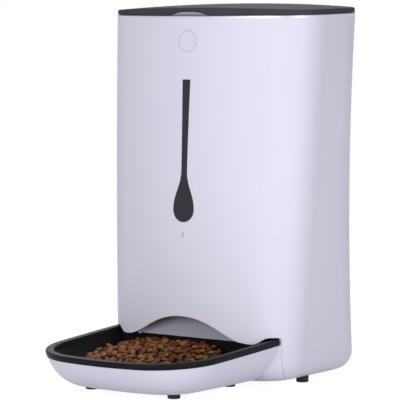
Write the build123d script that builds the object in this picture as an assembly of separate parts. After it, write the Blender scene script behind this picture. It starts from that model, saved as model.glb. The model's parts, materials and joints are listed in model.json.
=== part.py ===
from build123d import *
import math
import os

# Automatic pet feeder. Millimetres, Z up, front towards -Y.
# Pieces are drawn about the body's own axis and set back on export, so that the
# origin lies on the floor midway between the bowl's front and the body's back.

# Body: half width, front reach and back reach at the base, the waist and the top
FOOT_H = 5.0
WAIST_Z = 190.0
TOP_Z = 350.0
TOP_TILT = 1.5
BASE_HALF_W = 104.0
BASE_FRONT = 91.0
BASE_BACK = 93.0
WAIST_HALF_W = 112.0
WAIST_FRONT = 85.0
WAIST_BACK = 75.3
TOP_HALF_W = 117.5
TOP_FRONT = 77.5
TOP_BACK = 77.3
BOW_R = 260.0
CORNER_R = 45.0
BOTTOM_R = 18.0
WALL = 2.6

# Arch over the bowl, seen from the front, and the seam to the bowl holder, seen from the side
ARCH_APEX_Z = 64.5
SHOULDER_X = 47.0
SHOULDER_Z = 50.3
LOBE_X = 74.0
LOBE_Z = 42.0
SIDE_X = 90.0
SIDE_Z = 48.4
SEAM_Y = -62.0
SEAM_R = 22.0

# Bowl holder and bowl
HULL_HALF_W = 96.5
HULL_REACH = 159.8
HULL_SIDE_R = 2400.0
HULL_CORNER_R = 63.0
HULL_FRONT_R = 300.0
HULL_H = 43.0
HULL_FLARE = 36.5
HULL_REAR = 0.5
HOLDER_WALL = 2.4
POCKET_LIFT = 4.0
RIM_Z = 41.4
RIM_TILT = 3.55
RIM_H = 5.6
RIM_W = 8.0
RIM_PROUD = 0.6
RIM_ROUND = 2.0
BOWL_WALL = 2.4
BOWL_FLOOR_GAP = 1.2

# Feet
FOOT_R = 6.0
FOOT_ROUND = 1.0
FOOT_SINK = 0.05
HOLDER_FOOT_X = 48.0
HOLDER_FOOT_FRONT_Y = -166.0
HOLDER_FOOT_REAR_Y = -78.0
BODY_FOOT_INSET = 15.0
BODY_FOOT_FRONT_Y = -14.0
BODY_FOOT_REAR_X = 55.0

# Base plate
BASE_LIP = 24.0
BASE_T = 4.0
BASE_FLANGE = 4.0
POST_X = 66.0
POST_FRONT_Y = -14.0
POST_REAR_Y = 44.0
POST_R = 5.0
SCREW_R = 1.5
SCREW_HEAD_R = 3.4
SCREW_HEAD_H = 2.0
SCREW_L = 14.0

# Batteries lie side by side along Y in a box that opens downwards
CELL_R = 17.3
CELL_L = 66.0
CELL_PITCH = 36.0
CELLS = 3
CELL_Y = 21.0
BATTERY_BOX_H = 39.0
BATTERY_BOX_WALL = 2.0
CONTACT_W = 14.0
CONTACT_T = 0.6
CONTACT_TIP_R = 3.0
COVER_T = 2.0
COVER_MARGIN = 2.5
COVER_TRAVEL = 8.0

# Hopper, rotor housing and rotor
HOPPER_INSET = 11.0
HOPPER_WALL = 2.0
HOPPER_GAP = 0.6
HOPPER_TOP_Z = 338.0
FUNNEL_TOP_Z = 205.0
WELL_Y = 2.0
WELL_R = 58.0
WELL_FLOOR_Z = 110.0
WELL_FLOOR_T = 3.0
WELL_TOP_Z = 150.0
WELL_WALL = 2.5
WELL_FLANGE = 6.0
SEAL_T = 1.5
ROTOR_VANES = 6
ROTOR_VANE_T = 3.0
ROTOR_GAP = 1.6
ROTOR_H = 31.0
ROTOR_HUB_R = 15.0
ROTOR_CONE_H = 16.0
SHAFT_R = 4.0
OUTLET_HALF_W = 33.0
OUTLET_FRONT_Y = -53.0
OUTLET_REAR_Y = -29.0
GUARD_T = 2.0

# Chute
CHUTE_WALL = 2.5
CHUTE_TOP_HALF_W = 36.5
CHUTE_TOP_FRONT_Y = -57.0
CHUTE_TOP_REAR_Y = -25.6
CHUTE_BOTTOM_HALF_W = 60.0
CHUTE_BOTTOM_FRONT_Y = -78.5
CHUTE_BOTTOM_REAR_Y = -70.5
CHUTE_BOTTOM_Z = 42.5
CHUTE_OPEN_Y = -100.0
SENSOR_R = 2.5
SENSOR_L = 7.0
SENSOR_Y = -48.0
SENSOR_Z = 97.0

# Gear train
GEAR_MODULE = 1.0
PINION_TEETH = 15
WHEEL_TEETH = 36
OUTPUT_TEETH = 45
ADDENDUM = 0.8
DEDENDUM = 1.15
TOOTH_PLAY = 0.3
PRESSURE_ANGLE = 20.0
GEAR_T = 6.0
GEAR_LOW_Z = 90.0
GEAR_STEP = 2.0
CASE_WALL = 2.0
CASE_FLOOR_T = 3.0
CASE_GAP = 2.2
CASE_DEPTH = 26.0
AXLE_R = 2.5
MOTOR_R = 12.0
MOTOR_L = 28.0
MOTOR_SHAFT_R = 1.5
BUSH_T = 3.0
BUSH_PROUD = 1.0

# Top: trim ring, lid and hinge, in a frame that follows the sloping top edge
RING_H = 2.4
RING_W = 12.0
SKIRT_H = 6.0
SKIRT_T = 1.6
SKIRT_GAP = 0.8
LID_GAP = 0.6
LID_CROWN = 9.0
LID_DOME_R = 1464.0
LID_SKIN = 2.5
LID_ROUND = 1.6
HINGE_INSET = 20.0
HINGE_PIN_R = 1.2
KNUCKLE_R = 2.6
KNUCKLE_IN_X = 22.0
KNUCKLE_OUT_X = 46.0
KNUCKLE_END_X = 92.0
KNUCKLE_GAP = 0.4
LID_HINGE_GAP = 1.2
BRIDGE_HINGE_GAP = 5.2
NOTCH_HALF_W = 23.0
NOTCH_H = 4.2
NOTCH_DEPTH = 11.0
NOTCH_GAP = 0.8
SEAL_INSET = 13.6
SEAL_W = 2.4
SEAL_DROP = 2.6
DESICCANT_R = 24.0
DESICCANT_DEPTH = 9.0
VENTS = 5
VENT_PITCH = 5.0
VENT_W = 2.0
VENT_DEPTH = 1.0

# Lid release
RELEASE_R = 10.5
RELEASE_Z = 326.5
RELEASE_FLANGE_R = 13.5
RELEASE_FLANGE_T = 1.6
RELEASE_GAP = 1.3
LATCH_ARM_X = 9.0
LATCH_ARM_W = 2.5
LATCH_BAR_INSET = 8.0
LATCH_BAR_T = 2.0
LATCH_BAR_H = 3.0
LATCH_BAR_W = -6.5
TONGUE_HALF_W = 5.0
TONGUE_INSET = 4.2
TONGUE_T = 1.8
TONGUE_W = -10.0
HOOK_T = 1.2

# Window and indicator in the front wall
WINDOW_TOP_Z = 290.0
WINDOW_TOP_HALF_W = 4.6
WINDOW_NECK_Z = 203.0
WINDOW_NECK_HALF_W = 3.4
WINDOW_BULB_Z = 166.3
WINDOW_BULB_R = 12.1
WINDOW_TAPER = 0.02
INDICATOR_Z = 142.3
INDICATOR_H = 5.0
INDICATOR_W = 1.6
INDICATOR_FLANGE = 3.0
INDICATOR_FLANGE_T = 1.2

# Control panel under the lid
PANEL_DEPTH = 47.5
PANEL_T = 2.0
PANEL_INSET = 5.2
PANEL_BOX_INSET = 14.2
PANEL_BOX_H = 18.0
PANEL_BOX_WALL = 1.8
DISPLAY_X = 58.0
DISPLAY_Y = 20.0
DISPLAY_INSET = 30.5
DISPLAY_T = 1.4
DISPLAY_LEDGE = 2.0
MODULE_T = 4.0
BOARD_T = 1.6
BOARD_DROP = 8.0
KEY_R = 5.5
KEY_FLANGE = 1.2
KEY_FLANGE_T = 1.0
KEY_PROUD = 0.2
KEY_TRAVEL = 1.2
KEY_STEM_R = 2.0
KEY_NAMES = ("set_button", "record_button", "up_button", "down_button", "feed_button")
KEY_SIDES = (-1, -1, 1, 1, 1)
KEY_SIDE_INSETS = (51.5, 67.5, 67.5, 51.5, 36.5)
KEY_FRONT_INSET = 25.4

# Main board, speaker and power inlet
MAIN_BOARD_X = -58.5
MAIN_BOARD_L = 46.0
MAIN_BOARD_H = 50.0
BOARD_RIB_W = 4.0
CHIPS = 4
CHIP_W = 6.0
CHIP_T = 2.0
CHIP_Z = 30.0
SPEAKER_R = 16.0
SPEAKER_Z = 88.0
SPEAKER_SEAT_Y = 67.0
SPEAKER_DEPTH = 8.0
SPEAKER_RIM_T = 1.6
SPEAKER_RIM_W = 3.0
GRILLE_SLOTS = 7
GRILLE_PITCH = 3.6
GRILLE_SLOT_W = 2.0
JACK_X = 48.0
JACK_Z = 60.0
JACK_R = 5.5
JACK_BORE_R = 3.2
JACK_PIN_R = 1.0
JACK_PIN_INSET = 2.0
JACK_BODY = 13.0
JACK_SEAT_Y = 66.0

# Shared clearances
SEAT_GAP = 0.02
RUN_GAP = 0.05
FIT_GAP = 0.15
LOOSE_GAP = 0.3
SLIDE_GAP = 0.4

# Sampling of outlines
HULL_ANGLES = (0.0, 25.0, 50.0, 70.0, 90.0)
SPARE = 14.0
OVER = 1.0
UPRIGHT = 0.9
FAR = 400.0

BASE_PLAN = (BASE_HALF_W, BASE_FRONT, BASE_BACK)
WAIST_PLAN = (WAIST_HALF_W, WAIST_FRONT, WAIST_BACK)
TOP_PLAN = (TOP_HALF_W, TOP_FRONT, TOP_BACK)
TOP = Pos(0, 0, TOP_Z) * Rot(X=TOP_TILT)
RIM = Pos(0, SEAM_Y, RIM_Z) * Rot(X=RIM_TILT)
BODY_TOP_Z = TOP_Z + TOP_BACK * math.tan(math.radians(TOP_TILT)) + LOOSE_GAP
FRONT_TOP_Z = TOP_Z - TOP_FRONT * math.tan(math.radians(TOP_TILT))


def plan_face(plan, z=0.0, inset=0.0):
    half_w, front, back = plan
    corner_x = half_w - CORNER_R
    turn = math.asin(corner_x / (BOW_R - CORNER_R))
    half_turn = (turn + math.pi / 2) / 2
    bow_r = BOW_R - inset
    corner_r = CORNER_R - inset
    edges = Curve()
    ends = []
    for side, reach in ((-1, front), (1, back)):
        centre = reach - BOW_R
        corner_y = centre + (BOW_R - CORNER_R) * math.cos(turn)
        bow_x, bow_y = bow_r * math.sin(turn), side * (centre + bow_r * math.cos(turn))
        mid_x = corner_x + corner_r * math.sin(half_turn)
        mid_y = side * (corner_y + corner_r * math.cos(half_turn))
        end_x, end_y = half_w - inset, side * corner_y
        edges += ThreePointArc((-bow_x, bow_y), (0, side * (reach - inset)), (bow_x, bow_y))
        edges += ThreePointArc((bow_x, bow_y), (mid_x, mid_y), (end_x, end_y))
        edges += ThreePointArc((-bow_x, bow_y), (-mid_x, mid_y), (-end_x, end_y))
        ends.append((end_x, end_y))
    edges += Line(ends[0], ends[1])
    edges += Line((-ends[0][0], ends[0][1]), (-ends[1][0], ends[1][1]))
    return Pos(0, 0, z) * make_face(edges)


def plan_at(z):
    levels = (FOOT_H, WAIST_Z, BODY_TOP_Z)
    shares = []
    for level in levels:
        share = 1.0
        for other in levels:
            if other != level:
                share *= (z - other) / (level - other)
        shares.append(share)
    return tuple(sum(share * size for share, size in zip(shares, sizes))
                 for sizes in zip(BASE_PLAN, WAIST_PLAN, TOP_PLAN))


def block(x0, x1, y0, y1, z0, z1):
    return Pos((x0 + x1) / 2, (y0 + y1) / 2, (z0 + z1) / 2) * Box(x1 - x0, y1 - y0, z1 - z0)


def disc(radius, z0, z1, x=0.0, y=0.0):
    return Pos(x, y, (z0 + z1) / 2) * Cylinder(radius, z1 - z0)


def bar_y(radius, y0, y1, x=0.0, z=0.0):
    return Pos(x, (y0 + y1) / 2, z) * Rot(X=90) * Cylinder(radius, y1 - y0)


def bar_x(radius, x0, x1, y=0.0, z=0.0):
    return Pos((x0 + x1) / 2, y, z) * Rot(Y=90) * Cylinder(radius, x1 - x0)


def body_solid(inset):
    floor = FOOT_H + inset
    solid = loft([
        plan_face(BASE_PLAN, floor, inset),
        plan_face(WAIST_PLAN, WAIST_Z, inset),
        plan_face(TOP_PLAN, BODY_TOP_Z, inset),
    ])
    return fillet(solid.faces().sort_by(Axis.Z)[0].edges(), BOTTOM_R - inset)


def above_top():
    return TOP * block(-FAR, FAR, -FAR, FAR, 0, FAR)


def mouth_block():
    edge = Line((-FAR, SIDE_Z), (-SIDE_X, SIDE_Z))
    edge += Spline((-SIDE_X, SIDE_Z), (-LOBE_X, LOBE_Z), tangents=[(1, 0), (1, 0)])
    edge += Spline((-LOBE_X, LOBE_Z), (-SHOULDER_X, SHOULDER_Z), (0, ARCH_APEX_Z),
                   tangents=[(1, 0), (1, 0)])
    edge += Spline((0, ARCH_APEX_Z), (SHOULDER_X, SHOULDER_Z), (LOBE_X, LOBE_Z),
                   tangents=[(1, 0), (1, 0)])
    edge += Spline((LOBE_X, LOBE_Z), (SIDE_X, SIDE_Z), tangents=[(1, 0), (1, 0)])
    edge += Polyline((SIDE_X, SIDE_Z), (FAR, SIDE_Z), (FAR, -FAR), (-FAR, -FAR), (-FAR, SIDE_Z))
    return extrude(Plane.XZ * make_face(edge), FAR)


def seam_block(gap=0.0):
    tail = SEAM_Y + SEAM_R
    centre_z = FOOT_H + SEAM_R
    front = SEAM_Y - gap
    low = FOOT_H - gap
    lean = (SEAM_R + gap) * math.sqrt(0.5)
    edge = Polyline((tail, low), (tail, low - FAR), (-FAR, low - FAR), (-FAR, FAR / 2), (front, FAR / 2),
                    (front, centre_z))
    edge += ThreePointArc((front, centre_z), (tail - lean, centre_z - lean), (tail, low))
    return extrude(Plane.YZ * make_face(edge), FAR / 2, both=True)


def hull_face(inset, z):
    side_x = HULL_HALF_W - HULL_SIDE_R
    front_y = HULL_REACH - HULL_FRONT_R
    span = math.hypot(side_x, front_y)
    side_r, front_r = HULL_SIDE_R - HULL_CORNER_R, HULL_FRONT_R - HULL_CORNER_R
    along = (side_r ** 2 - front_r ** 2 + span ** 2) / (2 * span)
    across = math.sqrt(side_r ** 2 - along ** 2)
    corner_x = side_x - (along * side_x + across * front_y) / span
    corner_y = (along * front_y - across * side_x) / span
    side_turn = math.atan2(corner_y, corner_x - side_x)
    front_turn = math.atan2(corner_y - front_y, corner_x)

    def on_arc(x, y, radius, turn):
        return (x + (radius - inset) * math.cos(turn), SEAM_Y - y - (radius - inset) * math.sin(turn))

    rear = (HULL_HALF_W - inset, SEAM_Y + SPARE)
    start = (HULL_HALF_W - inset, SEAM_Y)
    side_mid = on_arc(side_x, 0, HULL_SIDE_R, side_turn / 2)
    side_end = on_arc(side_x, 0, HULL_SIDE_R, side_turn)
    corner_mid = on_arc(corner_x, corner_y, HULL_CORNER_R, (side_turn + front_turn) / 2)
    front_end = on_arc(0, front_y, HULL_FRONT_R, front_turn)
    front_mid = on_arc(0, front_y, HULL_FRONT_R, math.pi / 2)
    half = Line(rear, start) + ThreePointArc(start, side_mid, side_end)
    half += ThreePointArc(side_end, corner_mid, front_end)
    half += ThreePointArc(front_end, front_mid, (-front_end[0], front_end[1]))
    half += ThreePointArc((-side_end[0], side_end[1]), (-corner_mid[0], corner_mid[1]),
                          (-front_end[0], front_end[1]))
    half += ThreePointArc((-start[0], start[1]), (-side_mid[0], side_mid[1]), (-side_end[0], side_end[1]))
    half += Polyline((-start[0], start[1]), (-rear[0], rear[1]), rear)
    return Pos(0, 0, z) * make_face(half)


def hull_solid(inset, floor_lift=0.0, rear_off=0.0):
    faces = []
    depth = HULL_H - floor_lift
    for angle in HULL_ANGLES:
        tuck = HULL_FLARE * (1 - math.sin(math.radians(angle)))
        z = FOOT_H + floor_lift + depth * (1 - math.cos(math.radians(angle)))
        faces.append(hull_face(inset + tuck, z))
    faces.append(hull_face(inset, FOOT_H + HULL_H + SPARE))
    return loft(faces) - block(-FAR, FAR, SEAM_Y - rear_off, FAR, -FAR, FAR)


def window_prism(shrink=0.0):
    top, neck, bulb = WINDOW_TOP_HALF_W - shrink, WINDOW_NECK_HALF_W - shrink, WINDOW_BULB_R - shrink
    top_z = WINDOW_TOP_Z - shrink
    edge = Line((-top, top_z), (top, top_z))
    down = (0, -1)
    for side in (-1, 1):
        lean = (-side * WINDOW_TAPER, -1)
        edge += Spline((side * top, top_z), (side * neck, WINDOW_NECK_Z), tangents=[lean, down])
        edge += Spline((side * neck, WINDOW_NECK_Z), (side * bulb, WINDOW_BULB_Z), tangents=[down, down])
    edge += ThreePointArc((bulb, WINDOW_BULB_Z), (0, WINDOW_BULB_Z - bulb), (-bulb, WINDOW_BULB_Z))
    return extrude(Plane.XZ * make_face(edge), FAR)


def indicator_prism(shrink=0.0):
    slot = SlotOverall(INDICATOR_H - 2 * shrink, INDICATOR_W - 2 * shrink, rotation=90)
    return extrude(Plane.XZ * Pos(0, INDICATOR_Z) * slot, FAR)


def polar(radius, angle):
    return (radius * math.cos(angle), radius * math.sin(angle))


def involute(radius, base):
    roll = math.sqrt(max((radius / base) ** 2 - 1, 0))
    return roll - math.atan(roll)


def gear_face(teeth, phase):
    pitch_r = GEAR_MODULE * teeth / 2
    base_r = pitch_r * math.cos(math.radians(PRESSURE_ANGLE))
    tip_r = pitch_r + ADDENDUM * GEAR_MODULE
    root_r = pitch_r - DEDENDUM * GEAR_MODULE
    pitch_half = (math.pi * GEAR_MODULE / 2 - TOOTH_PLAY) / (2 * pitch_r)
    swell = pitch_half + involute(pitch_r, base_r)
    tip_half = swell - involute(tip_r, base_r)
    root_half = swell - involute(root_r, base_r)
    points = []
    for k in range(teeth):
        centre = phase + 2 * math.pi * k / teeth
        points += [polar(root_r, centre - root_half), polar(tip_r, centre - tip_half),
                   polar(tip_r, centre + tip_half), polar(root_r, centre + root_half)]
    return make_face(Polyline(*points, close=True))


# Positions of the gear train
IDLER_Y = WELL_Y + GEAR_MODULE * (OUTPUT_TEETH + PINION_TEETH) / 2
PINION_X = GEAR_MODULE * (WHEEL_TEETH + PINION_TEETH) / 2
GEAR_HIGH_Z = GEAR_LOW_Z + GEAR_T + GEAR_STEP
CASE_Z = WELL_FLOOR_Z - CASE_DEPTH
MOTOR_TOP_Z = CASE_Z
HINGE_Y = TOP_BACK - HINGE_INSET
LID_W = RING_H + LID_GAP
HINGE_W = RING_H + LOOSE_GAP + KNUCKLE_R
BASE_TOP_Z = FOOT_H + BASE_T
INNER_FLOOR_Z = FOOT_H + WALL
BODY_FOOT_X = BASE_HALF_W - BODY_FOOT_INSET
BODY_FOOT_REAR_Y = BASE_BACK - BODY_FOOT_REAR_X ** 2 / (2 * BOW_R) - BODY_FOOT_INSET
POSTS = [(x, y) for x in (-POST_X, POST_X) for y in (POST_FRONT_Y, POST_REAR_Y)]
CELL_XS = [CELL_PITCH * (k - (CELLS - 1) / 2) for k in range(CELLS)]
BOX_HALF_W = CELL_XS[-1] + CELL_R + BATTERY_BOX_WALL
BOX_FRONT_Y = CELL_Y - CELL_L / 2 - BATTERY_BOX_WALL
BOX_REAR_Y = CELL_Y + CELL_L / 2 + BATTERY_BOX_WALL
DOOR_HALF_W = CELL_XS[-1] + CELL_R
DOOR_FRONT_Y = CELL_Y - CELL_L / 2
DOOR_REAR_Y = CELL_Y + CELL_L / 2
PANEL_REAR_Y = PANEL_DEPTH - TOP_FRONT
DISPLAY_CENTRE_Y = DISPLAY_INSET - TOP_FRONT
KEY_X = [side * (TOP_HALF_W - inset) for side, inset in zip(KEY_SIDES, KEY_SIDE_INSETS)]
KEY_Y = [KEY_FRONT_INSET + x ** 2 / (2 * BOW_R) - TOP_FRONT for x in KEY_X]

pieces = {}
outer = body_solid(0.0)
inner = body_solid(WALL)
wall = outer - inner


def make_shell():
    shell = wall - above_top()
    shell -= extrude(plan_face(BASE_PLAN, 0, BASE_LIP), FOOT_H + BOTTOM_R)
    shell -= mouth_block() & seam_block()
    shell -= window_prism()
    shell -= indicator_prism()
    shell -= bar_y(RELEASE_R + FIT_GAP, -FAR, 0, 0, RELEASE_Z)
    rear = outer & block(-FAR, FAR, 0, FAR, 0, TOP_Z)
    speaker_seat = bar_y(SPEAKER_R + WALL, SPEAKER_SEAT_Y, FAR, 0, SPEAKER_Z)
    speaker_seat -= bar_y(SPEAKER_R - WALL, 0, FAR, 0, SPEAKER_Z)
    shell += rear & speaker_seat
    shell += rear & bar_y(JACK_R + WALL, JACK_SEAT_Y, FAR, JACK_X, JACK_Z)
    shell -= bar_y(JACK_R + FIT_GAP, JACK_SEAT_Y - WALL, FAR, JACK_X, JACK_Z)
    for k in range(GRILLE_SLOTS):
        x = GRILLE_PITCH * (k - (GRILLE_SLOTS - 1) / 2)
        reach = math.sqrt((SPEAKER_R - WALL - GRILLE_SLOT_W) ** 2 - x ** 2)
        slot = SlotOverall(2 * reach, GRILLE_SLOT_W, rotation=90)
        shell -= extrude(Plane.XZ * Pos(x, SPEAKER_Z) * slot, -FAR)
    return shell


def make_holder():
    over_rim = RIM * block(-FAR, FAR, -FAR, FAR, 0, FAR)
    holder = hull_solid(0.0, 0.0, HULL_REAR) - over_rim
    holder += (outer & seam_block(SLIDE_GAP)) - over_rim
    holder -= hull_solid(HOLDER_WALL, HOLDER_WALL, HOLDER_WALL + SLIDE_GAP)
    return holder - (Pos(0, 0, POCKET_LIFT) * inner & seam_block(SLIDE_GAP + HOLDER_WALL))


def make_bowl():
    floor = HOLDER_WALL + BOWL_FLOOR_GAP
    rear = HOLDER_WALL + SLIDE_GAP + LOOSE_GAP
    tub = hull_solid(RIM_W - BOWL_WALL, floor, rear) - RIM * block(-FAR, FAR, -FAR, FAR, 0, FAR)
    tub -= hull_solid(RIM_W, floor + BOWL_WALL, rear + BOWL_WALL)
    band = hull_solid(-RIM_PROUD, 0, rear) & RIM * block(-FAR, FAR, -FAR, FAR, 0, RIM_H)
    band -= hull_solid(RIM_W)
    top = band.faces().filter_by(lambda face: face.normal_at().Z > UPRIGHT)
    band = fillet(top.edges().filter_by(GeomType.LINE, reverse=True), RIM_ROUND)
    return tub + band


def foot_at(x, y):
    foot = disc(FOOT_R, 0, FOOT_H + BOTTOM_R, x, y)
    return fillet(foot.edges().sort_by(Axis.Z)[0:1], FOOT_ROUND)


def make_body_feet():
    feet = []
    for x in (-1, 1):
        for px, py in ((BODY_FOOT_X, BODY_FOOT_FRONT_Y), (BODY_FOOT_REAR_X, BODY_FOOT_REAR_Y)):
            feet.append(foot_at(x * px, py) - Pos(0, 0, -FOOT_SINK) * outer)
    return feet


def make_holder_feet():
    feet = []
    for x in (-HOLDER_FOOT_X, HOLDER_FOOT_X):
        for y in (HOLDER_FOOT_FRONT_Y, HOLDER_FOOT_REAR_Y):
            foot = disc(FOOT_R, 0, FOOT_H - SEAT_GAP, x, y)
            feet.append(fillet(foot.edges().sort_by(Axis.Z)[0:1], FOOT_ROUND))
    return feet


def make_base_plate():
    plate = extrude(plan_face(BASE_PLAN, FOOT_H, BASE_LIP + LOOSE_GAP), BASE_T)
    flange_z = INNER_FLOOR_Z + SEAT_GAP
    plate += extrude(plan_face(BASE_PLAN, flange_z, BASE_LIP - BASE_FLANGE), BASE_TOP_Z - flange_z)
    plate -= block(-FAR, FAR, -FAR, SEAM_Y + SEAM_R + LOOSE_GAP, 0, FAR)
    for x, y in POSTS:
        plate += disc(POST_R, BASE_TOP_Z, WELL_FLOOR_Z, x, y)
    rib_x = MAIN_BOARD_X
    for y in (CELL_Y - MAIN_BOARD_L / 3, CELL_Y + MAIN_BOARD_L / 3):
        plate += block(rib_x - BOARD_T - FIT_GAP, rib_x + BOARD_T + FIT_GAP, y - BOARD_RIB_W / 2,
                       y + BOARD_RIB_W / 2, BASE_TOP_Z, BASE_TOP_Z + BASE_T)
    plate -= block(rib_x - BOARD_T / 2 - SEAT_GAP, rib_x + BOARD_T / 2 + SEAT_GAP, CELL_Y - MAIN_BOARD_L,
                   CELL_Y + MAIN_BOARD_L, BASE_TOP_Z, BASE_TOP_Z + 2 * BASE_T)
    plate -= block(-DOOR_HALF_W, DOOR_HALF_W, DOOR_FRONT_Y, DOOR_REAR_Y, 0, BASE_TOP_Z)
    reach = COVER_MARGIN + LOOSE_GAP
    plate -= block(-DOOR_HALF_W - reach, DOOR_HALF_W + reach, DOOR_FRONT_Y - reach - COVER_TRAVEL,
                   DOOR_REAR_Y + reach, 0, FOOT_H + COVER_T + FIT_GAP)
    for x, y in POSTS:
        plate -= disc(SCREW_HEAD_R + LOOSE_GAP, 0, FOOT_H + SCREW_HEAD_H, x, y)
        plate -= disc(SCREW_R + SEAT_GAP, 0, FOOT_H + SCREW_L, x, y)
    return plate


def make_base_screws():
    screws = []
    for x, y in POSTS:
        head = disc(SCREW_HEAD_R, FOOT_H + LOOSE_GAP, FOOT_H + SCREW_HEAD_H, x, y)
        screws.append(head + disc(SCREW_R, FOOT_H + SCREW_HEAD_H, FOOT_H + SCREW_L - LOOSE_GAP, x, y))
    return screws


def make_battery_box():
    top = BASE_TOP_Z + BATTERY_BOX_H
    box = block(-BOX_HALF_W, BOX_HALF_W, BOX_FRONT_Y, BOX_REAR_Y, BASE_TOP_Z, top)
    cell_z = top - BATTERY_BOX_WALL - CELL_R
    for x in CELL_XS:
        box -= bar_y(CELL_R, DOOR_FRONT_Y, DOOR_REAR_Y, x, cell_z)
        box -= block(x - CELL_R, x + CELL_R, DOOR_FRONT_Y, DOOR_REAR_Y, 0, cell_z)
    return box


def make_battery_contacts():
    cell_z = BASE_TOP_Z + BATTERY_BOX_H - BATTERY_BOX_WALL - CELL_R
    contacts = []
    for x in CELL_XS:
        for y, inward in ((DOOR_FRONT_Y, 1), (DOOR_REAR_Y, -1)):
            near, far = sorted((y, y + inward * CONTACT_T))
            plate = block(x - CONTACT_W / 2, x + CONTACT_W / 2, near, far,
                          cell_z - CONTACT_W / 2, cell_z + CONTACT_W / 2)
            low, high = sorted((y + inward * CONTACT_T, y + inward * 3 * CONTACT_T))
            contacts.append(plate + bar_y(CONTACT_TIP_R, low, high, x, cell_z))
    return contacts


def make_battery_cover():
    cover = block(-DOOR_HALF_W - COVER_MARGIN, DOOR_HALF_W + COVER_MARGIN, DOOR_FRONT_Y - COVER_MARGIN,
                  DOOR_REAR_Y + COVER_MARGIN, FOOT_H, FOOT_H + COVER_T)
    cover = fillet(cover.edges().filter_by(Axis.Z), COVER_T)
    for k in range(CELLS):
        y = DOOR_FRONT_Y + COVER_TRAVEL + k * 2 * COVER_T
        cover -= block(-COVER_TRAVEL, COVER_TRAVEL, y, y + COVER_T / 2, 0, FOOT_H + COVER_T / 2)
    return cover


def hopper_solid(inset, low_r, top_z):
    straight = loft([plan_face(plan_at(FUNNEL_TOP_Z), FUNNEL_TOP_Z, inset),
                     plan_face(plan_at(top_z), top_z, inset)], ruled=True)
    throat = Pos(0, WELL_Y, WELL_TOP_Z + SEAL_T) * Rot(Z=-90) * Circle(low_r)
    funnel = loft([throat, plan_face(plan_at(FUNNEL_TOP_Z), FUNNEL_TOP_Z, inset)], ruled=True)
    return straight + funnel


def make_hopper():
    flange_z = HOPPER_TOP_Z - HOPPER_WALL
    hopper = hopper_solid(HOPPER_INSET, WELL_R + WELL_WALL, HOPPER_TOP_Z)
    flange = extrude(plan_face(plan_at(flange_z), flange_z, WALL + HOPPER_GAP), HOPPER_WALL)
    gap = LATCH_ARM_X + LATCH_ARM_W + LATCH_BAR_T
    flange -= block(-gap, gap, -FAR, HOPPER_INSET - TOP_FRONT, 0, FAR)
    hopper += flange
    hopper -= hopper_solid(HOPPER_INSET + HOPPER_WALL, WELL_R, HOPPER_TOP_Z + SEAT_GAP)
    return hopper


def make_hopper_seal():
    ring = disc(WELL_R + WELL_FLANGE, WELL_TOP_Z, WELL_TOP_Z + SEAL_T, 0, WELL_Y)
    return ring - disc(WELL_R + LOOSE_GAP, 0, FAR, 0, WELL_Y)


def make_rotor_housing():
    floor_top = WELL_FLOOR_Z + WELL_FLOOR_T
    cup = disc(WELL_R + WELL_WALL, WELL_FLOOR_Z, WELL_TOP_Z, 0, WELL_Y)
    cup += disc(WELL_R + WELL_FLANGE, WELL_TOP_Z - WELL_FLOOR_T, WELL_TOP_Z, 0, WELL_Y)
    ear = POST_X + POST_R
    cup += block(-ear, ear, POST_FRONT_Y - POST_R, POST_REAR_Y + POST_R, WELL_FLOOR_Z, floor_top)
    cup -= disc(WELL_R, floor_top, FAR, 0, WELL_Y)
    cup -= block(-OUTLET_HALF_W, OUTLET_HALF_W, OUTLET_FRONT_Y, OUTLET_REAR_Y, 0, floor_top + OVER)
    cup -= disc(SHAFT_R + BUSH_T + SEAT_GAP, 0, FAR, 0, WELL_Y)
    cup -= disc(AXLE_R + SEAT_GAP, 0, WELL_FLOOR_Z + WELL_FLOOR_T / 2, 0, IDLER_Y)
    return cup


def make_outlet_guard():
    top = WELL_TOP_Z - SEAT_GAP
    guard = disc(WELL_R - FIT_GAP, top - GUARD_T, top, 0, WELL_Y)
    return guard & block(-FAR, FAR, -FAR, OUTLET_REAR_Y + GUARD_T, 0, FAR)


def chute_block(half_top, front_top, rear_top, half_low, front_low, rear_low, over):
    faces = []
    for half, front, rear, z in ((half_top, front_top, rear_top, WELL_FLOOR_Z - SEAT_GAP + over),
                                 (half_low, front_low, rear_low, CHUTE_BOTTOM_Z - over)):
        faces.append(Pos(0, (front + rear) / 2, z) * Rectangle(2 * half, rear - front))
    return loft(faces)


def make_chute():
    t = CHUTE_WALL
    chute = chute_block(CHUTE_TOP_HALF_W, CHUTE_TOP_FRONT_Y, CHUTE_TOP_REAR_Y, CHUTE_BOTTOM_HALF_W,
                        CHUTE_BOTTOM_FRONT_Y, CHUTE_BOTTOM_REAR_Y, 0)
    chute -= chute_block(CHUTE_TOP_HALF_W - t, CHUTE_TOP_FRONT_Y + t, CHUTE_TOP_REAR_Y - t,
                         CHUTE_BOTTOM_HALF_W - t, CHUTE_OPEN_Y, CHUTE_BOTTOM_REAR_Y - t, SEAT_GAP)
    return chute - bar_x(SENSOR_R + SEAT_GAP, -FAR, FAR, SENSOR_Y, SENSOR_Z)


def make_drop_sensors():
    share = (WELL_FLOOR_Z - SENSOR_Z) / (WELL_FLOOR_Z - CHUTE_BOTTOM_Z)
    near = CHUTE_TOP_HALF_W + (CHUTE_BOTTOM_HALF_W - CHUTE_TOP_HALF_W) * share - CHUTE_WALL
    return [bar_x(SENSOR_R, near, near + SENSOR_L, SENSOR_Y, SENSOR_Z),
            bar_x(SENSOR_R, -near - SENSOR_L, -near, SENSOR_Y, SENSOR_Z)]


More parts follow.
